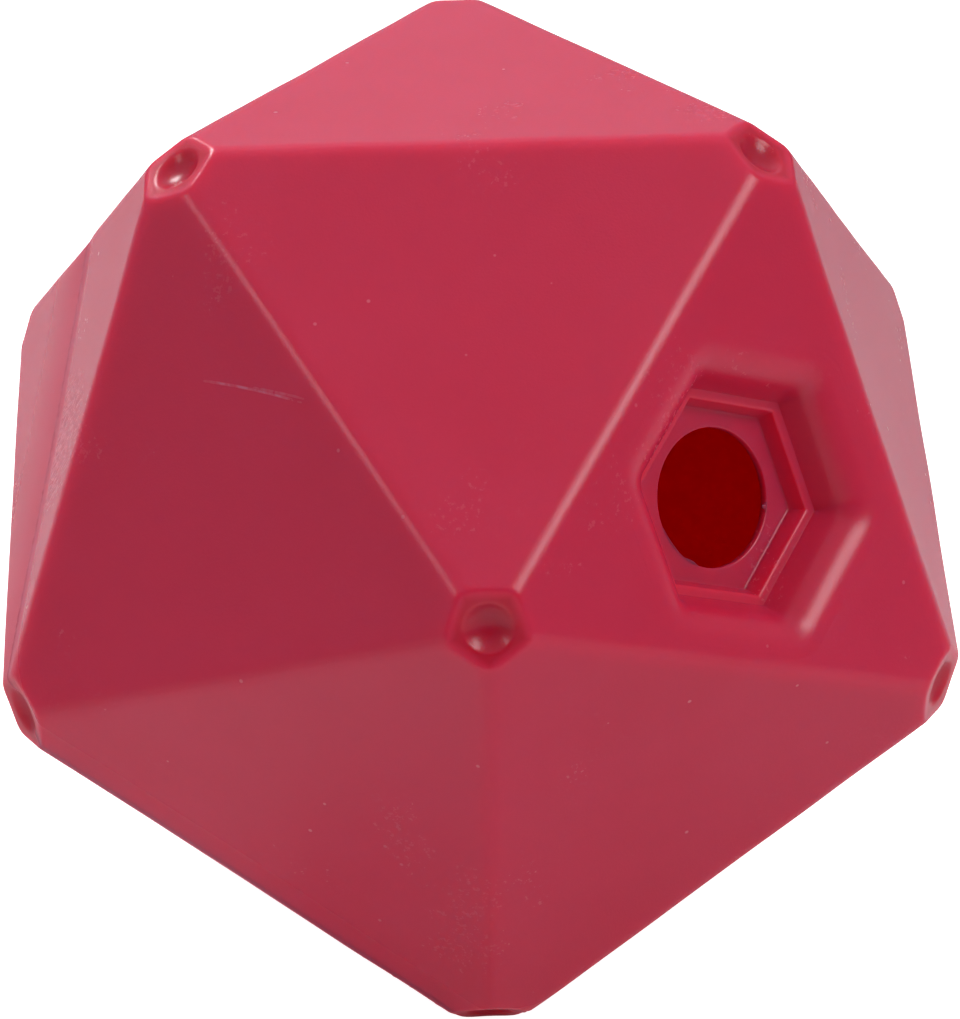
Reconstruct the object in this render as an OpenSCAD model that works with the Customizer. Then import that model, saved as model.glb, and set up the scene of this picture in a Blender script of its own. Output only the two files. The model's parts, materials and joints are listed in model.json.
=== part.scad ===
// Hollow feed ball: an icosahedron of twenty triangular faces with a bowl pressed into each of its
// twelve corners, and a stepped six-sided pocket whose round port drops feed as the ball rolls.
// Frame: +Z up, origin at the centre of the face it rests on, port facing -Y. Millimetres.

/* [Ball] */
// Length of a triangle's side between its sharp corners
edge_l = 150; // [120:5:190]
// Thickness of the moulded wall
wall_t = 3.2; // [2.6:0.1:4]
// Radius that softens the edges between the faces
edge_r = 8; // [4:0.5:12]

/* [Corners] */
// Share of each triangle's side that a cut corner takes away
corner_cut = 0.09; // [0.085:0.0025:0.1]
// Mouth diameter of the bowl in each corner
dimple_d = 12; // [9:0.5:15]
// Depth of that bowl
dimple_h = 3; // [1.5:0.25:4]

/* [Port] */
// Diameter of the round hole in the pocket's floor
port_d = 34.5; // [20:0.5:36]
// How far the pocket's middle sits below the middle of its face
pocket_drop = 2.3; // [0:0.1:3]
// Depth of the pocket's floor below the face
pocket_h = 16; // [13:0.5:18]
// Thickness of that floor, which the moulding stretches thin
floor_t = 2.2; // [1.8:0.1:3]
// Width across the flats of the pocket's mouth
mouth_w = 73; // [72:0.5:76]
// Width of the rounded lip inside the mouth
lip_w = 10.5; // [9:0.5:11]
// Depth that the lip reaches
lip_h = 8.5; // [6:0.5:9]
// Depth of the ledge at the foot of the walls
ledge_h = 11.1; // [9.5:0.1:11.5]
// Width across the flats where the walls meet the ledge
pocket_w = 50; // [49:0.5:51]
// Width of the ledge
ledge_w = 2.4; // [1.5:0.1:2.8]
// Slope of the step below the ledge, measured across it
step_w = 1.3; // [0.5:0.1:1.5]

/* [Seam] */
// Width of the weld where the two moulded halves join
seam_w = 1.2; // [0.8:0.1:2]
// Height that the weld's flash stands above the surface
flash_h = 0.35; // [0.2:0.05:0.6]

/* [Hidden] */
crimson = [0.72, 0.2, 0.29];
pale_crimson = [0.8, 0.33, 0.41];
$fn = 96;

// Regular icosahedron: centre to corner, to face and to the middle of an edge
golden = (1 + sqrt(5)) / 2;
corner_dist = edge_l * sqrt(golden * sqrt(5)) / 2;
face_dist = edge_l * golden^2 / (2 * sqrt(3));
edge_dist = edge_l * golden / 2;
block = 3 * edge_l;

// Its corners lie in four rings of three, counted about the vertical line through its centre
small_ring_r = edge_l / sqrt(3);
wide_ring_r = golden * small_ring_r;
wide_ring_z = face_dist / golden^3;
// Turns the face with the port to face -Y
port_turn = atan2(golden^2 * sin(60), golden + golden^2 / 2);
function ring(r, z, start) =
    [for (k = [0:2]) let (turn = start + 120 * k - port_turn) [r * sin(turn), -r * cos(turn), z]];
corners = concat(
    ring(small_ring_r, -face_dist, 0),
    ring(wide_ring_r, -wide_ring_z, 60),
    ring(wide_ring_r, wide_ring_z, 0),
    ring(small_ring_r, face_dist, 60));
function joined(p, q) = norm(p - q) < 1.01 * edge_l;
edges = [for (i = [0:10], j = [i + 1:11]) if (joined(corners[i], corners[j])) corners[i] + corners[j]];
faces = [for (i = [0:9], j = [i + 1:10], k = [j + 1:11])
    if (joined(corners[i], corners[j]) && joined(corners[j], corners[k]) && joined(corners[i], corners[k]))
        corners[i] + corners[j] + corners[k]];

// Flats that stand in for the rounded edges and the cut corners
edge_flat = edge_dist - edge_r * (edge_dist / face_dist - 1);
corner_flat = corner_dist - corner_cut * edge_l^2 / (2 * corner_dist);
dimple_r = (dimple_d^2 / 4 + dimple_h^2) / (2 * dimple_h);

// The port's own axes: out of the pocket, towards the corner beside it, and down the face
function unit(v) = v / norm(v);
port_axis = unit(corners[3] + corners[6] + corners[9]);
port_side = unit(corners[6] - face_dist * port_axis);
port_down = cross(port_axis, port_side);
port_middle = face_dist * port_axis + pocket_drop * port_down;
// Half widths and depths down the pocket: round the lip, down the wall, over the ledge and the step
lip_steps = 4;
lip_foot = mouth_w / 2 - lip_w;
pocket_line = concat(
    [for (i = [0:lip_steps]) let (turn = 90 * i / lip_steps)
        [lip_foot + lip_w * (1 - sin(turn)), lip_h * (1 - cos(turn))]],
    [[pocket_w / 2, ledge_h], [pocket_w / 2 - ledge_w, ledge_h],
     [pocket_w / 2 - ledge_w - step_w, pocket_h]]);

// The plane of the weld cuts one edge square in half and runs through four corners
seam_axis = corners[11] - corners[8];

// Turns its children's X axis to point along dir
module along(dir)
    rotate([0, -asin(dir.z / norm(dir)), atan2(dir.y, dir.x)])
        children();

// Everything on the near side of a plane that faces along dir, at dist from the centre
module within(dir, dist)
    along(dir)
        translate([dist - block, -block / 2, -block / 2])
            cube(block);

// The flat-sided form, with its surface moved out by grow and its corners sunk by sink
module facets(grow, sink)
    intersection() {
        intersection_for (c = corners) within(c, corner_flat + grow - sink);
        intersection_for (f = faces) within(f, face_dist + grow);
        intersection_for (e = edges) within(e, edge_flat + grow);
    }

// The whole ball as a solid, with its surface moved out by grow
module ball(grow)
    difference() {
        facets(grow, 0);
        for (c = corners)
            along(c)
                translate([corner_flat - dimple_h + dimple_r, 0, 0])
                    sphere(dimple_r - grow);
    }

// The space inside, drawn in by shrink, which leaves a full wall behind the bowls
module chamber(shrink)
    facets(-shrink, dimple_h);

// Places its children on the face with the port, with Z out of the pocket
module on_port_face()
    multmatrix([
        [port_side.x, port_down.x, port_axis.x, port_middle.x],
        [port_side.y, port_down.y, port_axis.y, port_middle.y],
        [port_side.z, port_down.z, port_axis.z, port_middle.z]])
        children();

// The space inside the pocket, with its walls moved out by side_grow and its floor by floor_grow
module pocket(side_grow, floor_grow)
    on_port_face()
        rotate([0, 0, 30]) {
            hex_r = 1 / cos(30);
            translate([0, 0, -floor_grow - 0.01])
                cylinder(h = 2 * lip_w, r = (pocket_line[0].x + side_grow) * hex_r, $fn = 6);
            for (i = [1:len(pocket_line) - 1]) {
                upper = pocket_line[i - 1];
                lower = pocket_line[i];
                if (lower.y > upper.y)
                    translate([0, 0, -lower.y - floor_grow])
                        cylinder(h = lower.y - upper.y + 0.01, r1 = (lower.x + side_grow) * hex_r,
                            r2 = (upper.x + side_grow) * hex_r, $fn = 6);
            }
        }

module port_hole()
    on_port_face()
        translate([0, 0, -pocket_h - 2 * floor_t])
            cylinder(h = 3 * floor_t, d = port_d);

// The solid ball on one side of the weld's plane
module half_ball(side)
    intersection() {
        ball(0);
        within(side * seam_axis, -seam_w / 2);
    }

module standing()
    translate([0, 0, face_dist])
        children();

module front_half_shell()
    color(crimson)
        standing()
            difference() {
                half_ball(-1);
                difference() {
                    chamber(wall_t);
                    pocket(wall_t, floor_t);
                }
                pocket(0, 0);
                port_hole();
            }

module rear_half_shell()
    color(crimson)
        standing()
            difference() {
                half_ball(1);
                chamber(wall_t);
            }

module seam_weld()
    color(pale_crimson)
        standing()
            difference() {
                intersection() {
                    ball(flash_h);
                    within(seam_axis, seam_w / 2);
                    within(-seam_axis, seam_w / 2);
                }
                chamber(wall_t + flash_h);
            }

front_half_shell();
rear_half_shell();
seam_weld();
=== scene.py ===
"""A hollow, blow-moulded feed ball: twenty satin crimson faces, a bowl in each of the twelve corners,
and a stepped six-sided pocket with a round port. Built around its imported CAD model.

Shapes are worked out in millimetres about the ball's centre, and turned into metres in the frame
when a mesh is made.
"""

import json
import math

import bmesh
import bpy
import numpy as np
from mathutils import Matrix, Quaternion, Vector


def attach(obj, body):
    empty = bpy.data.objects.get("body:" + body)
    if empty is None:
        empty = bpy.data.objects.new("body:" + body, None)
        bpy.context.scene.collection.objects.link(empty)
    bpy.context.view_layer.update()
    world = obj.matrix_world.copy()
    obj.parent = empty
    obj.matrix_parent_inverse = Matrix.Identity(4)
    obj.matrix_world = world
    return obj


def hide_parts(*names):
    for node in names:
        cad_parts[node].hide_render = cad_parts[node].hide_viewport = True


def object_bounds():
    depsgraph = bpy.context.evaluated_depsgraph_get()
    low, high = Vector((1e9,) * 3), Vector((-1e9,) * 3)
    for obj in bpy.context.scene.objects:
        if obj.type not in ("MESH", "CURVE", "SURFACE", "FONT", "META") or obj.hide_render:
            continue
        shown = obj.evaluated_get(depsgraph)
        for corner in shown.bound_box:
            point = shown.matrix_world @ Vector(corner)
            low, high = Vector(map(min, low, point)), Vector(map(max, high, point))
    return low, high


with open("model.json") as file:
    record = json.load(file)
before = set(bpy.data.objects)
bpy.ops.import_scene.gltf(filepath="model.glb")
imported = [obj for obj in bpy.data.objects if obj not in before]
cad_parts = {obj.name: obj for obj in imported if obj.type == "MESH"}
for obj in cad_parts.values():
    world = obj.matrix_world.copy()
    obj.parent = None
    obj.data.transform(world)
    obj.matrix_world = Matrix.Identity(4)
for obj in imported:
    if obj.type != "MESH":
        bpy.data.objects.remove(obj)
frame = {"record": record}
cad_low, cad_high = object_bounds()

MM = 0.001

# ---------------------------------------------------------------- the ball's own dimensions

GOLDEN = (1 + math.sqrt(5)) / 2
FACE_DIST = (cad_high.z - cad_low.z) / 2 / MM
EDGE_L = FACE_DIST * 2 * math.sqrt(3) / GOLDEN**2
CORNER_DIST = EDGE_L * math.sqrt(GOLDEN * math.sqrt(5)) / 2
BALL_CENTRE = np.array([0, 0, (cad_high.z + cad_low.z) / 2 / MM])

WALL_T = 3.2  # thickness of the moulded wall
EDGE_R = 8.0  # radius of the rounded edges
CORNER_CUT = 0.09  # share of each edge that a cut corner takes away
CORNER_SOFT = 0.5  # width over which a cut corner blends into the edges
DISH_D = 20.0  # width over which a cut corner is dished
DISH_H = 0.45  # depth of that dish
DIMPLE_D = 12.6  # mouth of the bowl in a corner
DIMPLE_H = 2.9  # its depth below the dish's rim
DIMPLE_SOFT = 0.5  # width of the rounding round its mouth
FACE_SAG = 0.6  # how far a face pulls in at its middle as the plastic cools
SEAM_HALF = 0.5  # half the gap between the two shells, which the weld fills
SEAM_DIP = 0.35  # how far the surface dips at the seam
SEAM_DIP_FRONT = 5.0  # width of that dip on the front shell
SEAM_DIP_REAR = 30.0  # width of it on the rear shell

CORNER_FLAT = CORNER_DIST - CORNER_CUT * EDGE_L**2 / (2 * CORNER_DIST)
DISH_R = (DISH_D**2 / 4 + DISH_H**2) / (2 * DISH_H)
DISH_CENTRE = CORNER_FLAT - DISH_H + DISH_R
DIMPLE_R = (DIMPLE_D**2 / 4 + DIMPLE_H**2) / (2 * DIMPLE_H)
DIMPLE_CENTRE = CORNER_FLAT - DIMPLE_H + DIMPLE_R
FOLD = math.sqrt(5) / 3  # cosine of the angle between the normals of two faces that meet


def unit(v):
    return v / np.linalg.norm(v)


def mix(a, b, t):
    return a + (b - a) * t


# Turns the ball about its vertical axis until the face with the port looks along -Y
PORT_TURN = math.atan2(GOLDEN**2 * math.sin(math.pi / 3), GOLDEN + GOLDEN**2 / 2)


def ring(radius, height, start):
    """Three corners of the ball at one height."""
    turn = np.radians(start + 120 * np.arange(3)) - PORT_TURN
    return np.stack([radius * np.sin(turn), -radius * np.cos(turn), np.full(3, height)], 1)


SMALL_RING = EDGE_L / math.sqrt(3)
WIDE_RING = GOLDEN * SMALL_RING
WIDE_HEIGHT = FACE_DIST / GOLDEN**3
CORNERS = np.concatenate([
    ring(SMALL_RING, -FACE_DIST, 0),
    ring(WIDE_RING, -WIDE_HEIGHT, 60),
    ring(WIDE_RING, WIDE_HEIGHT, 0),
    ring(SMALL_RING, FACE_DIST, 60),
])
LOW_RIGHT, FRONT, LEFT, UP_RIGHT, UP_LEFT = 3, 6, 8, 9, 11
PORT_FACE = (FRONT, LOW_RIGHT, UP_RIGHT)


def joined(i, j):
    return np.linalg.norm(CORNERS[i] - CORNERS[j]) < 1.01 * EDGE_L


FACES = [
    (i, j, k)
    for i in range(12) for j in range(i + 1, 12) for k in range(j + 1, 12)
    if joined(i, j) and joined(j, k) and joined(i, k)
]
CORNER_DIRS = CORNERS / CORNER_DIST
FACE_NORMALS = np.array([unit(CORNERS[list(f)].sum(0)) for f in FACES])
FACE_INVERSES = np.array([np.linalg.inv(CORNERS[list(f)].T) for f in FACES])
SEAM_AXIS = unit(CORNERS[UP_LEFT] - CORNERS[LEFT])

# ---------------------------------------------------------------- the pocket's dimensions

bore = next(m for m in frame["record"]["mounts"] if m["name"] == "feed_port")
bore_at = np.array(bore["pos_m"]) / MM - BALL_CENTRE
PORT_AXIS = unit(np.array(bore["axis"]))
PORT_SIDE = unit(CORNERS[FRONT] - FACE_DIST * PORT_AXIS)
PORT_DOWN = np.cross(PORT_AXIS, PORT_SIDE)
# The corners of the port's face in the order that its side and down axes turn
PORT_LOOP = sorted(
    PORT_FACE,
    key=lambda c: math.atan2(CORNERS[c] @ PORT_DOWN, CORNERS[c] @ PORT_SIDE) % (2 * math.pi - 1e-6))
POCKET_AT = (bore_at @ PORT_SIDE) * PORT_SIDE + (bore_at @ PORT_DOWN) * PORT_DOWN
PORT_R = 17.25  # radius of the round port
FLOOR_T = 2.2  # thickness of the pocket's floor
POCKET_H = FACE_DIST - bore_at @ PORT_AXIS - FLOOR_T / 2

LEDGE = 25.0  # half width across the flats at the ledge's outer corner
LEDGE_H = 11.1  # depth there
STEP = 22.6  # half width at the step's top
STEP_H = 11.6  # depth there
FLOOR = 21.3  # half width at the step's foot
LIP_R = 10.0  # radius of the rounded lip
WALL_TILT = math.radians(65)  # slope of the wall between the lip and the ledge
WALL_TOP_H = LIP_R * (1 - math.cos(WALL_TILT))
WALL_TOP = LEDGE + (LEDGE_H - WALL_TOP_H) / math.tan(WALL_TILT)
MOUTH = WALL_TOP + LIP_R * math.sin(WALL_TILT)
WITNESS = MOUTH + 1.4  # half width of the faint line that the mould leaves round the mouth
WITNESS_RISE = 0.05  # height of that line
MOUTH_ROUND = 10.0  # radius of the mouth's corners
WALL_ROUND = 4.5  # radius of the corners at the wall's top
FOOT_ROUND = 0.4  # radius of the corners from the ledge down

# ---------------------------------------------------------------- the moulded surface

rng = np.random.default_rng(20)
WAVES = 14
wave_dirs = rng.normal(size=(WAVES, 3))
wave_dirs /= np.linalg.norm(wave_dirs, axis=1)[:, None]
wave_vectors = wave_dirs * (2 * np.pi / rng.uniform(18, 60, WAVES))[:, None]
wave_phases = rng.uniform(0, 2 * np.pi, WAVES)
wave_heights = rng.uniform(0.01, 0.035, WAVES)


def smooth_max(a, b, blend):
    """The larger of two fields, rounded off where they cross."""
    near = np.maximum(blend - np.abs(a - b), 0)
    return np.maximum(a, b) + near**2 / (4 * blend)


def outside(points):
    """How far each point lies outside the moulded surface."""
    plane = points @ FACE_NORMALS.T - (FACE_DIST - EDGE_R)
    face = plane.argmax(1)
    second, first = np.partition(plane, -2, axis=1)[:, -2:].T
    share_first = (first - FOLD * second) / (1 - FOLD**2)
    share_second = (second - FOLD * first) / (1 - FOLD**2)
    ridge = np.sqrt(np.maximum(share_first * first + share_second * second, 0))
    level = np.where(share_second > 0, ridge, first) - EDGE_R

    reach = (points @ CORNER_DIRS.T).max(1)
    squared = (points**2).sum(1)
    for centre, radius, soft in (
        (DISH_CENTRE, DISH_R, CORNER_SOFT),
        (DIMPLE_CENTRE, DIMPLE_R, DIMPLE_SOFT),
    ):
        level = smooth_max(level, radius - np.sqrt(squared - 2 * reach * centre + centre**2), soft)

    weights = np.einsum("nij,nj->ni", FACE_INVERSES[face], points)
    weights /= weights.sum(1)[:, None]
    level += FACE_SAG * 27 * np.clip(weights, 0, 1).prod(1)
    level += np.sin(points @ wave_vectors.T + wave_phases) @ wave_heights

    across = points @ SEAM_AXIS
    width = np.where(across > 0, SEAM_DIP_FRONT, SEAM_DIP_REAR)
    return level + SEAM_DIP * np.exp(-((across / width) ** 2))


RAY_STEPS = 12  # enough for a ray to settle on the surface
RAY_SLOPE = 0.9  # how fast the field grows along a typical ray


def on_surface(starts, directions, depth=0.0):
    """Where rays from the starts meet the surface, or the one that lies depth below it."""
    reach = np.full(len(directions), FACE_DIST)
    for _ in range(RAY_STEPS):
        reach -= (outside(starts + directions * reach[:, None]) + depth) / RAY_SLOPE
    return starts + directions * reach[:, None]


# ---------------------------------------------------------------- meshes


class Skin:
    """Points and faces that are being gathered for one mesh."""

    def __init__(self):
        self.points, self.faces = [], []
        self.first_sliver = None  # the first face that takes the second material

    def add(self, points):
        start = len(self.points)
        self.points.extend(points)
        return list(range(start, start + len(points)))

    def join(self, loop_a, loop_b):
        """Quads between two closed loops of the same length."""
        n = len(loop_a)
        for i in range(n):
            j = (i + 1) % n
            self.faces.append((loop_a[i], loop_a[j], loop_b[j], loop_b[i]))

    def join_half(self, fine, coarse):
        """Triangles between a closed loop and one with half as many points."""
        n = len(fine)
        for i, a in enumerate(coarse):
            b = coarse[(i + 1) % len(coarse)]
            p, q, r = fine[2 * i], fine[2 * i + 1], fine[(2 * i + 2) % n]
            self.faces += [(p, q, a), (q, b, a), (q, r, b)]

    def object(self, name):
        """The mesh as a Blender object in the frame."""
        mesh = bpy.data.meshes.new(name)
        mesh.from_pydata((np.array(self.points) + BALL_CENTRE) * MM, [], self.faces)
        mesh.update()
        if self.first_sliver is not None:
            for face in mesh.polygons[self.first_sliver:]:
                face.material_index = 1
        thing = bpy.data.objects.new(name, mesh)
        bpy.context.scene.collection.objects.link(thing)
        return thing


FINE, COARSE = 80, 40  # grid steps along a face's side, outside and inside
GATHER = 1.6  # how strongly a face's grid gathers at its sides


def grid_key(corners, counts):
    """The name of a grid point, the same from each face that shares it."""
    return tuple(sorted((c, n) for c, n in zip(corners, counts) if n))


def ball_skin(skin, n, depth):
    """Adds every face but the port's, and returns the loop round the port's face."""
    known = {}
    directions = []

    def point(corners, counts):
        key = grid_key(corners, counts)
        if key not in known:
            known[key] = len(directions)
            shares = (np.array(counts) / n) ** GATHER
            directions.append(unit(shares @ CORNERS[list(corners)]))
        return known[key]

    triangles = []
    for face in FACES:
        if sorted(face) == sorted(PORT_FACE):
            continue
        rows = [[point(face, (i, j, n - i - j)) for j in range(n - i + 1)] for i in range(n + 1)]
        for i in range(n):
            for j in range(n - i):
                triangles.append((rows[i][j], rows[i + 1][j], rows[i][j + 1]))
                if j < n - i - 1:
                    triangles.append((rows[i + 1][j], rows[i + 1][j + 1], rows[i][j + 1]))
    loop = []
    for a, b in zip(PORT_LOOP, PORT_LOOP[1:] + PORT_LOOP[:1]):
        loop += [point((a, b), (n - i, i)) for i in range(n)]
    directions = np.array(directions)
    first = len(skin.points)
    skin.add(on_surface(np.zeros(3), directions, depth))
    skin.faces += [tuple(first + v for v in t) for t in triangles]
    return [first + v for v in loop]


def hexagon(half_width, corner_r, count):
    """A rounded hexagon round the pocket's middle, with its points gathered at the corners."""
    half = count // 12
    climb = math.pi / 6 * (1 - (1 - np.arange(half) / half) ** 1.8)
    turn = np.concatenate([climb, math.pi / 3 - np.append(climb[1:], math.pi / 6)[::-1]])
    corner_r = min(corner_r, half_width)
    flat_ends = math.atan(math.tan(math.pi / 6) * (half_width - corner_r) / half_width)
    from_flat = np.minimum(turn, math.pi / 3 - turn)
    centre = (half_width - corner_r) / math.cos(math.pi / 6)
    from_corner = math.pi / 6 - from_flat
    chord = centre * np.cos(from_corner) + np.sqrt(
        np.maximum(corner_r**2 - (centre * np.sin(from_corner)) ** 2, 0))
    radius = np.where(from_flat <= flat_ends, half_width / np.cos(from_flat), chord)
    turns = (turn[None, :] + np.arange(6)[:, None] * math.pi / 3).ravel()
    radii = np.tile(radius, 6)
    return np.stack([radii * np.cos(turns), radii * np.sin(turns)], 1)


def on_face(flat):
    """Points of the port's face, on its flat plane but with no height along its axis."""
    return POCKET_AT + flat[:, :1] * PORT_SIDE + flat[:, 1:] * PORT_DOWN


def pocket_loop(half_width, corner_r, depth, count, below=0.0):
    """One turn round the pocket, depth below the face. Near the mouth it follows the sunken face."""
    starts = on_face(hexagon(half_width, corner_r, count))
    surface = on_surface(starts, np.tile(PORT_AXIS, (count, 1)), below) @ PORT_AXIS
    plain = min(max((depth - below) / WALL_TOP_H, 0), 1)
    height = (1 - plain) * surface + plain * (FACE_DIST - below) - (depth - below)
    return starts + height[:, None] * PORT_AXIS


def lip(t):
    """Half width, depth and slope on the lip, from its outer edge at t = 0 to its foot at t = 1."""
    tilt = t * WALL_TILT
    return MOUTH - LIP_R * math.sin(tilt), LIP_R * (1 - math.cos(tilt)), tilt


def pocket_profile():
    """Half width, corner radius and depth of each turn, from the mouth to the port's edge."""
    rows = [
        (WITNESS + 0.4, MOUTH_ROUND + 0.9, 0),
        (WITNESS, MOUTH_ROUND + 0.7, -WITNESS_RISE),
        (WITNESS - 0.4, MOUTH_ROUND + 0.5, 0),
        (mix(WITNESS, MOUTH, 0.6), MOUTH_ROUND + 0.2, 0),
    ]
    for t in np.linspace(0, 1, 14):
        half_width, depth, _ = lip(t)
        rows.append((half_width, mix(MOUTH_ROUND, WALL_ROUND, t), depth))
    for t in (0.25, 0.5, 0.75, 0.93):
        rows.append((
            mix(WALL_TOP, LEDGE, t), mix(WALL_ROUND, FOOT_ROUND, t), mix(WALL_TOP_H, LEDGE_H, t)))
    rows += [
        (LEDGE, FOOT_ROUND, LEDGE_H),
        (LEDGE - 0.25, FOOT_ROUND, LEDGE_H + 0.05),
        (mix(LEDGE, STEP, 0.5), FOOT_ROUND, mix(LEDGE_H, STEP_H, 0.3)),
        (STEP + 0.4, FOOT_ROUND, STEP_H - 0.3),
        (STEP + 0.15, FOOT_ROUND, STEP_H - 0.18),
        (STEP, FOOT_ROUND, STEP_H + 0.05),
        (STEP - 0.08, FOOT_ROUND, STEP_H + 0.4),
        (mix(STEP, FLOOR, 0.5), FOOT_ROUND, mix(STEP_H, POCKET_H, 0.5)),
        (FLOOR + 0.1, FOOT_ROUND, POCKET_H - 0.4),
        (FLOOR, FOOT_ROUND, POCKET_H - 0.15),
        (FLOOR - 0.2, FOOT_ROUND, POCKET_H - 0.03),
        (FLOOR - 0.8, 1.5, POCKET_H),
        (19.8, 9.0, POCKET_H),
        (18.6, 16.0, POCKET_H),
        (PORT_R + 0.5, PORT_R + 0.5, POCKET_H),
        (PORT_R + 0.1, PORT_R + 0.1, POCKET_H + 0.03),
        (PORT_R, PORT_R, POCKET_H + 0.15),
        (PORT_R, PORT_R, POCKET_H + FLOOR_T - 0.2),
    ]
    return rows


def pocket_back():
    """The same from behind, from the inner skin to the port's inner edge."""
    rows = []
    for t in np.linspace(0, 1, 8):
        half_width, depth, tilt = lip(t)
        rows.append((half_width + WALL_T * math.sin(tilt), MOUTH_ROUND, depth + WALL_T * math.cos(tilt)))
    rows += [
        (LEDGE + 0.8 * WALL_T, 6.0, LEDGE_H + 1.9),
        (mix(LEDGE, STEP, 0.6) + WALL_T, 4.0, STEP_H + 2.6),
        (FLOOR + 0.9 * WALL_T, 3.0, POCKET_H),
        (FLOOR + WALL_T - 1.2, 3.0, POCKET_H + FLOOR_T - 0.6),
        (FLOOR, 6.0, POCKET_H + FLOOR_T),
        (PORT_R + 1, PORT_R + 1, POCKET_H + FLOOR_T),
        (PORT_R + 0.1, PORT_R + 0.1, POCKET_H + FLOOR_T),
    ]
    return rows


def face_rows(skin, border, mouth, rows, depth):
    """Lays turns over the port's face from its border to the pocket's mouth."""
    edge = np.array([skin.points[v] for v in border])
    edge *= (FACE_DIST / (edge @ PORT_AXIS))[:, None]
    inner = on_face(mouth) + FACE_DIST * PORT_AXIS
    last = border
    for j in range(1, rows):
        spots = mix(edge, inner, (j / rows) ** 1.6)
        directions = spots / np.linalg.norm(spots, axis=1)[:, None]
        loop = skin.add(on_surface(np.zeros(3), directions, depth))
        skin.join(last, loop)
        last = loop
    return last


# Curls of plastic that the cutter left on the port's edge: first and last angle in degrees, how far
# each stands into the hole, and how far above the floor
BURRS = ((145, 153, 1.5, 0.7), (2, 34, 0.25, 0.12), (34, 50, 0.5, 0.1))


def add_burr(skin, first, last, reach, rise):
    """A thin closed sliver along the port's edge."""
    rings = []
    for t in np.linspace(0, 1, 15):
        turn = math.radians(mix(first, last, t))
        out = math.cos(turn) * PORT_SIDE + math.sin(turn) * PORT_DOWN
        swell = max(math.sin(math.pi * t), 0.05)
        section = [
            (PORT_R + 0.2, POCKET_H + 0.05), (PORT_R - 0.4 * reach * swell, POCKET_H - rise * swell),
            (PORT_R - reach * swell, POCKET_H - 0.3 * rise * swell), (PORT_R + 0.1, POCKET_H + 0.5)]
        rings.append(skin.add([POCKET_AT + r * out + (FACE_DIST - d) * PORT_AXIS for r, d in section]))
    for a, b in zip(rings, rings[1:]):
        skin.join(a, b)
    skin.faces += [tuple(rings[0]), tuple(rings[-1][::-1])]


def whole_ball():
    """The ball's outer and inner skins, joined through the port."""
    skin = Skin()
    border = ball_skin(skin, FINE, 0)
    profile = pocket_profile()
    last = face_rows(skin, border, hexagon(*profile[0][:2], 3 * FINE), 30, 0)
    for half_width, corner_r, depth in profile:
        loop = skin.add(pocket_loop(half_width, corner_r, depth, 3 * FINE))
        skin.join(last, loop)
        last = loop
    port_edge = last

    border = ball_skin(skin, COARSE, WALL_T)
    profile = pocket_back()
    last = face_rows(skin, border, hexagon(*profile[0][:2], 3 * COARSE), 12, WALL_T)
    for half_width, corner_r, depth in profile:
        loop = skin.add(pocket_loop(half_width, corner_r, depth, 3 * COARSE, WALL_T))
        skin.join(last, loop)
        last = loop
    skin.join_half(port_edge, last)
    skin.first_sliver = len(skin.faces)
    for burr in BURRS:
        add_burr(skin, *burr)
    return skin


CORNER_REACH = 132.5  # the grid is halved where a corner's axis reaches this far


def refine_corners(mesh):
    """Halves the outer grid round each cut corner, so that its rim and bowl are crisp."""
    work = bmesh.new()
    work.from_mesh(mesh)

    def near_corners():
        points = np.array([v.co for v in work.verts]) / MM - BALL_CENTRE
        near = ((points @ CORNER_DIRS.T).max(1) > CORNER_REACH) & (outside(points) > -WALL_T / 2)
        return points, near

    near = near_corners()[1]
    edges = [e for e in work.edges if near[e.verts[0].index] and near[e.verts[1].index]]
    bmesh.ops.subdivide_edges(work, edges=edges, cuts=1, use_grid_fill=True)
    points, near = near_corners()
    directions = points[near] / np.linalg.norm(points[near], axis=1)[:, None]
    settled = on_surface(np.zeros(3), directions)
    work.verts.ensure_lookup_table()
    for index, point in zip(np.flatnonzero(near), settled):
        work.verts[index].co = (point + BALL_CENTRE) * MM
    work.to_mesh(mesh)
    work.free()


SHARP = math.radians(50)  # edges that bend more than this are shaded sharp
SHADE_FROM, SHADE_TO = 0.7, 1.8  # depths below the faces over which the painted shade in a cut corner deepens


def mark_corner_shade(mesh):
    """Notes on each point how far it is sunk in a cut corner, which sets the painted shade there."""
    points = np.array([v.co for v in mesh.vertices]) / MM - BALL_CENTRE
    sunk = (FACE_DIST - (points @ FACE_NORMALS.T).max(1) - SHADE_FROM) / (SHADE_TO - SHADE_FROM)
    near = (points @ CORNER_DIRS.T).max(1) > CORNER_REACH - WALL_T
    values = np.where(near, np.clip(sunk, 0, 1), 0)
    # The attribute holds how much painted shade darkens each point in a cut corner.
    mesh.attributes.new("corner", "FLOAT", "POINT").data.foreach_set("value", values)


def half_shell(whole, name, side):
    """The part of the whole ball on one side of the seam, with its cut wall closed."""
    thing = whole.copy()
    thing.data = whole.data.copy()
    thing.name = thing.data.name = name
    bpy.context.scene.collection.objects.link(thing)
    work = bmesh.new()
    work.from_mesh(thing.data)
    plane_at = Vector((BALL_CENTRE + side * SEAM_HALF * SEAM_AXIS) * MM)
    cut = bmesh.ops.bisect_plane(
        work, geom=work.verts[:] + work.edges[:] + work.faces[:], dist=1e-7, plane_co=plane_at,
        plane_no=Vector(-side * SEAM_AXIS), clear_outer=True)
    rim = [e for e in cut["geom_cut"] if isinstance(e, bmesh.types.BMEdge)]
    bmesh.ops.triangle_fill(work, edges=rim, use_beauty=True)
    bmesh.ops.recalc_face_normals(work, faces=work.faces[:])
    for face in work.faces:
        face.smooth = True
    work.to_mesh(thing.data)
    work.free()
    thing.data.set_sharp_from_angle(angle=SHARP)
    mark_corner_shade(thing.data)
    return thing


WELD_STEPS = 1400  # points along the weld
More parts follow.
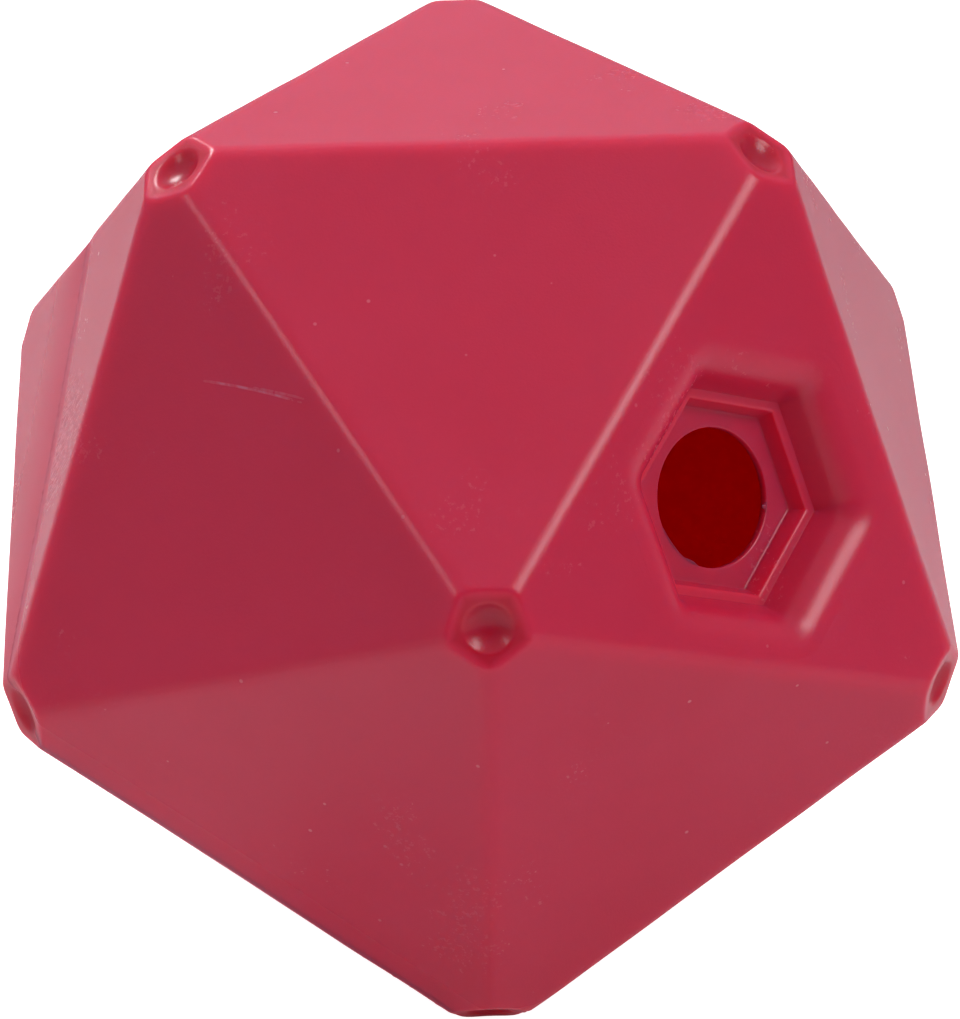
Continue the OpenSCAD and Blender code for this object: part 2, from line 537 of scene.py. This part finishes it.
# Turns of the weld's section: how far across the seam, how high above the surface, and the share of
# the flash's height
WELD_SECTION = (
    (-0.62, -WALL_T - 0.1, 0), (-0.62, -0.1, 0), (-0.4, -0.03, 0.1), (-0.2, 0, 0.45), (-0.08, 0, 1),
    (0.08, 0, 1), (0.2, 0, 0.45), (0.4, -0.03, 0.1), (0.62, -0.1, 0), (0.62, -WALL_T - 0.1, 0))
FLASH_LOW, FLASH_MEAN, FLASH_HIGH = 0.02, 0.12, 0.33  # heights of the flash above the surface
FLASH_WAVES = 26  # short waves that make its top uneven


def seam_weld():
    """The bead that joins the halves, with the flash that the mould's parting line leaves."""
    turn = np.arange(WELD_STEPS) * 2 * np.pi / WELD_STEPS
    start = unit(np.cross(SEAM_AXIS, (0, 0, 1)))
    aside = np.cross(SEAM_AXIS, start)
    directions = np.cos(turn)[:, None] * start + np.sin(turn)[:, None] * aside
    rough = np.zeros(WELD_STEPS)
    for cycles in rng.integers(40, 420, FLASH_WAVES):
        rough += np.sin(cycles * turn + rng.uniform(0, 2 * np.pi)) / FLASH_WAVES**0.5
    slow = sum(np.sin(c * turn + rng.uniform(0, 2 * np.pi)) for c in (2, 3, 5, 7, 11)) / 3
    flash = np.clip(FLASH_MEAN + 0.07 * slow + 0.09 * rough, FLASH_LOW, FLASH_HIGH)
    skin = Skin()
    loops = []
    for across, level, share in WELD_SECTION:
        starts = np.tile(across * SEAM_AXIS, (WELD_STEPS, 1))
        loops.append(skin.add(on_surface(starts, directions, -level - share * flash)))
    for a, b in zip(loops, loops[1:] + loops[:1]):
        skin.join(a, b)
    thing = skin.object("seam_weld_bead")
    thing.data.shade_smooth()
    thing.data.set_sharp_from_angle(angle=SHARP)
    return thing


# ---------------------------------------------------------------- materials


class Nodes:
    """Short names for the shader nodes of a new material, or of the world."""

    def __init__(self, owner):
        owner.use_nodes = True
        self.tree = owner.node_tree
        self.tree.nodes.clear()
        coordinates = self.tree.nodes.new("ShaderNodeTexCoord").outputs
        self.place, self.direction = coordinates["Object"], coordinates["Generated"]

    def add(self, kind, inputs=(), **settings):
        node = self.tree.nodes.new(kind)
        for key, value in settings.items():
            setattr(node, key, value)
        for key, value in dict(inputs).items():
            if isinstance(value, bpy.types.NodeSocket):
                self.tree.links.new(value, node.inputs[key])
            else:
                node.inputs[key].default_value = tuple(value) if np.ndim(value) else value
        return node

    def math(self, operation, *values, clamp=False):
        node = self.add("ShaderNodeMath", enumerate(values), operation=operation, use_clamp=clamp)
        return node.outputs[0]

    def vector(self, operation, *values, output=0):
        return self.add("ShaderNodeVectorMath", enumerate(values), operation=operation).outputs[output]

    def distance(self, spot):
        """Distance from a spot, given in metres in the frame."""
        return self.vector("DISTANCE", self.place, spot, output=1)

    def noise(self, scale, detail=2.0, roughness=0.5, stretch=None, place=None):
        place = place or self.place
        if stretch:
            place = self.vector("MULTIPLY", place, stretch)
        inputs = {"Vector": place, "Scale": scale, "Detail": detail, "Roughness": roughness}
        return self.add("ShaderNodeTexNoise", inputs).outputs["Fac"]

    def ramp(self, value, low, high):
        """0 below low, 1 above high, smooth between them."""
        inputs = {"Value": value, "From Min": low, "From Max": high}
        return self.add("ShaderNodeMapRange", inputs, interpolation_type="SMOOTHSTEP").outputs[0]

    def blend(self, factor, a, b):
        inputs = {0: factor, 6: a, 7: b}
        return self.add("ShaderNodeMix", inputs, data_type="RGBA").outputs[2]


CRIMSON = (0.87, 0.029, 0.093, 1)
DEEP_CRIMSON = (0.84, 0.026, 0.086, 1)
SCUFFED = (0.92, 0.22, 0.32, 1)
SHADED_CORNER_CRIMSON = (0.66, 0.012, 0.050, 1)  # painted shade in the dished cut corners: a darker, deeper red
TRIMMED_AND_GLINT = ((0.78, 0.100, 0.150, 1), (0.86, 0.150, 0.200, 1))  # slivers, too thin to glow from within, and paler: partly painted glints on the flash

DEPTH = 0.0105  # metres that red light travels in the plastic
DEPTH_SHARES = (1.0, 0.04, 0.06)  # the same for red, green and blue, as shares of that
ROUGH, ROUGH_WORN, ROUGH_BAND = 0.27, 0.10, 0.14  # roughness, and what wear and the band add

# The plastic's patterns: how many of each lie on a metre, and how strongly they show
CLOUD_SCALE = 18  # lighter and deeper red
PATCH_SCALE, SCUFF_SCALE, SCUFF_SHOWS = 24, 700, 0.13  # patches, and the scuffs in them
SPECK_SCALE, SPECK_R, SPECK_SHOWS = 75, 0.045, 0.40  # pale specks, and how big beside their spacing
RAGGED_SCALE = 420  # breaks in the scratches
HATCH_SCALE, HATCH_TURN, HATCH_SHOWS = 1500, 0.7, 0.28  # fine lines, turned by so many radians
GRAIN_SCALE, GRAIN_H = 1800, 0.00008  # the satin grain, and its height in metres

# Scratches on the face left of the front corner: their ends as shares of its corners, how far they
# bow, and how strongly they show
SCRATCH_FACE = (FRONT, UP_LEFT, LEFT)
SCRATCHES = (
    ((0.52, 0.43, 0.05), (0.44, 0.29, 0.27), 0.8, 1.0),
    ((0.52, 0.44, 0.04), (0.47, 0.35, 0.18), 0.3, 0.5),
    ((0.44, 0.41, 0.15), (0.40, 0.32, 0.28), -0.5, 0.7),
    ((0.48, 0.25, 0.27), (0.45, 0.17, 0.38), -0.4, 0.6),
)
SCRATCH_W = 0.45  # their half width
SEAM_BAND = 9.0  # width of the rougher band beside the seam, on the front shell
SEAM_BAND_REAR = 34.0  # width of it on the rear shell
HATCH_AT = (-105, 35, 36)  # middle of the patch of fine lines beside the seam, about the centre
HATCH_REACH = 25  # how far it reaches


def frame_place(shares, corners):
    """A place on a face, in metres in the frame."""
    return (np.array(shares) @ CORNERS[list(corners)] + BALL_CENTRE) * MM


def scratch(n, shares_a, shares_b, bow):
    """1 along a thin arc on the surface, 0 away from it."""
    start, end = (frame_place(shares, SCRATCH_FACE) for shares in (shares_a, shares_b))
    middle, chord = (start + end) / 2, end - start
    length = np.linalg.norm(chord)
    aside = unit(np.cross(unit(middle - BALL_CENTRE * MM), chord))
    radius = length**2 / (8 * bow * MM)
    off = n.math("ABSOLUTE", n.math("SUBTRACT", n.distance(middle + radius * aside), abs(radius)))
    near = n.ramp(n.distance(middle), 0.55 * length, 0.40 * length)
    return n.math("MULTIPLY", near, n.ramp(off, SCRATCH_W * MM, 0.1 * SCRATCH_W * MM))


def plastic(name, deep, light, depth):
    """Satin pigmented polyethylene: soft red depth, a fine grain, pale scuffs, specks and scratches, and
    painted shade in the cut corners.
    """
    material = bpy.data.materials.new(name)
    n = Nodes(material)
    colour = n.blend(n.ramp(n.noise(CLOUD_SCALE, 3), 0.35, 0.65), deep, light)
    # Painted shade: the surface sunk in a cut corner takes a darker red, as if shade fell there.
    corner = n.add("ShaderNodeAttribute", attribute_name="corner").outputs["Fac"]
    colour = n.blend(corner, colour, SHADED_CORNER_CRIMSON)

    patches = n.ramp(n.noise(PATCH_SCALE, 4, 0.6), 0.52, 0.74)
    scuff = n.math("MULTIPLY", patches, n.ramp(n.noise(SCUFF_SCALE, 3, 0.6), 0.50, 0.72))
    dots = n.add("ShaderNodeTexVoronoi", {"Vector": n.place, "Scale": SPECK_SCALE})
    speck = n.ramp(dots.outputs["Distance"], SPECK_R, 0.02)
    worn = n.math(
        "MAXIMUM", n.math("MULTIPLY", scuff, SCUFF_SHOWS), n.math("MULTIPLY", speck, SPECK_SHOWS))
    ragged = n.ramp(n.noise(RAGGED_SCALE, 2), 0.30, 0.62)
    for shares_a, shares_b, bow, strength in SCRATCHES:
        mark = n.math("MULTIPLY", scratch(n, shares_a, shares_b, bow), ragged)
        worn = n.math("MAXIMUM", worn, n.math("MULTIPLY", mark, strength))
    turned = n.add("ShaderNodeVectorRotate", {"Vector": n.place, "Axis": HATCH_AT, "Angle": HATCH_TURN})
    lines = n.noise(HATCH_SCALE, 2, 0.5, stretch=(1, 1, 0.04), place=turned.outputs[0])
    patch = n.ramp(n.distance((np.array(HATCH_AT) + BALL_CENTRE) * MM), HATCH_REACH * MM, 0)
    hatch = n.math("MULTIPLY", n.ramp(lines, 0.45, 0.7), patch)
    worn = n.math("MAXIMUM", worn, n.math("MULTIPLY", hatch, HATCH_SHOWS))
    colour = n.blend(worn, colour, SCUFFED)

    from_centre = n.vector("SUBTRACT", n.place, BALL_CENTRE * MM)
    across = n.vector("DOT_PRODUCT", from_centre, SEAM_AXIS, output=1)
    band = n.math("MULTIPLY", n.ramp(across, SEAM_BAND * MM, 0.6 * SEAM_BAND * MM),
                  n.ramp(across, -SEAM_BAND_REAR * MM, 0))

    grain = n.noise(GRAIN_SCALE, 2, 0.6)
    height = n.math("ADD", grain, n.math("MULTIPLY", worn, 0.5))
    bump = n.add("ShaderNodeBump", {"Strength": 0.6, "Distance": GRAIN_H, "Height": height})
    rough = n.math("ADD", ROUGH, n.math("MULTIPLY", worn, ROUGH_WORN))
    rough = n.math("ADD", rough, n.math("MULTIPLY", band, ROUGH_BAND))
    shader = n.add("ShaderNodeBsdfPrincipled", {
        "Base Color": colour,
        "Roughness": rough,
        "IOR": 1.47,
        "Subsurface Weight": depth,
        "Subsurface Radius": DEPTH_SHARES,
        "Subsurface Scale": DEPTH,
        "Normal": bump.outputs[0],
    })
    n.add("ShaderNodeOutputMaterial", {"Surface": shader.outputs[0]})
    return material


# ---------------------------------------------------------------- studio

CAMERA_AT = Vector((-0.63146, -0.77643, 0.55197))
CAMERA_TURN = -39.234  # degrees from looking along +Y, towards +X
CAMERA_TILT = -23.822  # degrees above the horizon
CAMERA_ROLL = -1.083  # degrees that its right side is raised
CAMERA_LENS = 146.9


def towards(azimuth, elevation):
    """The direction of a place seen from the ball, azimuth 0 being -Y."""
    a, e = math.radians(azimuth), math.radians(elevation)
    return Vector((math.sin(a) * math.cos(e), -math.cos(a) * math.cos(e), math.sin(e)))


def make_camera():
    data = bpy.data.cameras.new("camera")
    data.lens = CAMERA_LENS
    thing = bpy.data.objects.new("camera", data)
    bpy.context.scene.collection.objects.link(thing)
    look = -towards(CAMERA_TURN, -CAMERA_TILT)
    thing.location = CAMERA_AT
    thing.rotation_mode = "QUATERNION"
    thing.rotation_quaternion = (
        look.to_track_quat("-Z", "Y") @ Quaternion((0, 0, 1), math.radians(CAMERA_ROLL)))
    bpy.context.scene.camera = thing


# Softboxes: name, azimuth, elevation, size in metres and power in watts
SOFTBOXES = (
    ("key", 18, 40, (0.55, 0.75), 8.1),
    ("fill", -96, 30, (0.08, 0.25), 1.3),
    ("back", -178, 50, (0.45, 0.45), 11.0),
)
SOFTBOX_DIST = 1.6  # metres from the ball's centre


def softbox(name, azimuth, elevation, size, power):
    data = bpy.data.lights.new(name, "AREA")
    data.shape = "RECTANGLE"
    data.size, data.size_y = size
    data.energy = power
    thing = bpy.data.objects.new(name, data)
    bpy.context.scene.collection.objects.link(thing)
    middle = Vector(BALL_CENTRE * MM)
    thing.location = middle + towards(azimuth, elevation) * SOFTBOX_DIST
    thing.rotation_mode = "QUATERNION"
    thing.rotation_quaternion = (middle - thing.location).to_track_quat("-Z", "Y")


FLOOR_HALF = 6.0  # metres from the middle of the floor to its sides
FLOOR_NEAR, FLOOR_FAR = 0.28, 0.42  # metres from the ball between which its colour turns a little darker, painted shade for light falling off
FLOOR_WHITE = (0.8, 0.8, 0.8, 1)
# Painted shade: the floor's colour far from the ball, darker where less light would reach.
FLOOR_FAR_SHADE = (0.64, 0.64, 0.64, 1)
FLOOR_GLOW, FLOOR_SEEN = 0.06, 0.90  # light that it gives off, and what the camera sees beyond that


def make_floor(level):
    """A white floor. It looks evenly bright to the camera, and lights the ball as a dimmer one would;
    its colour darkens away from the ball as painted shade.
    """
    mesh = bpy.data.meshes.new("floor")
    sides = ((-1, -1), (1, -1), (1, 1), (-1, 1))
    mesh.from_pydata([(x * FLOOR_HALF, y * FLOOR_HALF, level) for x, y in sides], [], [(0, 1, 2, 3)])
    thing = bpy.data.objects.new("floor", mesh)
    bpy.context.scene.collection.objects.link(thing)
    material = bpy.data.materials.new("floor_white")
    n = Nodes(material)
    seen = n.add("ShaderNodeLightPath").outputs["Is Camera Ray"]
    glow = n.math("ADD", FLOOR_GLOW, n.math("MULTIPLY", seen, FLOOR_SEEN))
    far = n.ramp(n.distance((0, 0, level)), FLOOR_NEAR, FLOOR_FAR)
    shader = n.add("ShaderNodeBsdfPrincipled", {
        "Base Color": n.blend(far, FLOOR_WHITE, FLOOR_FAR_SHADE),
        "Roughness": 0.9, "Specular IOR Level": 0.0,
        "Emission Color": (1, 1, 1, 1), "Emission Strength": glow})
    n.add("ShaderNodeOutputMaterial", {"Surface": shader.outputs[0]})
    mesh.materials.append(material)


# Soft glows of the studio round the ball: azimuth, elevation, how narrow and how bright each is
GLOWS = ((0, 90, 2, 0.48), (150, 25, 4, 0.52), (-120, 20, 4, 0.38), (60, 20, 3, 0.20))
GLOW_TINT = (1, 0.95, 1.08, 1)  # their colour, a faint violet


def make_lights():
    """Dim surroundings with soft glows above, behind and at the sides, and three softboxes."""
    scene = bpy.context.scene
    scene.view_settings.view_transform = "Standard"
    scene.world = bpy.data.worlds.new("studio")
    n = Nodes(scene.world)
    total = 0
    for azimuth, elevation, narrow, bright in GLOWS:
        facing = n.vector("DOT_PRODUCT", n.direction, towards(azimuth, elevation), output=1)
        glow = n.math("POWER", n.math("MAXIMUM", facing, 0), narrow)
        total = n.math("ADD", n.math("MULTIPLY", glow, bright), total)
    background = n.add("ShaderNodeBackground", {"Color": GLOW_TINT, "Strength": total})
    n.add("ShaderNodeOutputWorld", {"Surface": background.outputs[0]})
    for box in SOFTBOXES:
        softbox(*box)


# ---------------------------------------------------------------- assembly

make_camera()
whole = whole_ball().object("whole")
refine_corners(whole.data)
front_shell = half_shell(whole, "front_shell", 1)
rear_shell = half_shell(whole, "rear_shell", -1)
bpy.data.objects.remove(whole)
weld_bead = seam_weld()

shell_plastic = plastic("crimson_polyethylene", DEEP_CRIMSON, CRIMSON, depth=1.0)
# Painted highlight: the weld and the slivers take a paler red so that the flash reads as bright glints.
weld_plastic = plastic("trimmed_glinting_polyethylene", *TRIMMED_AND_GLINT, depth=0.0)
for piece, node, slot, material in (
    (front_shell, "front_half_shell", "shell", shell_plastic),
    (rear_shell, "rear_half_shell", "shell", shell_plastic),
    (weld_bead, "seam_weld", "weld", weld_plastic),
):
    piece.data.materials.clear()
    piece.data.materials.append(material)
    piece.data.materials.append(weld_plastic)
    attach(piece, "root")
    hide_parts(node)

new_low, new_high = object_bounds()
make_floor(min(cad_low.z, new_low.z))
make_lights()
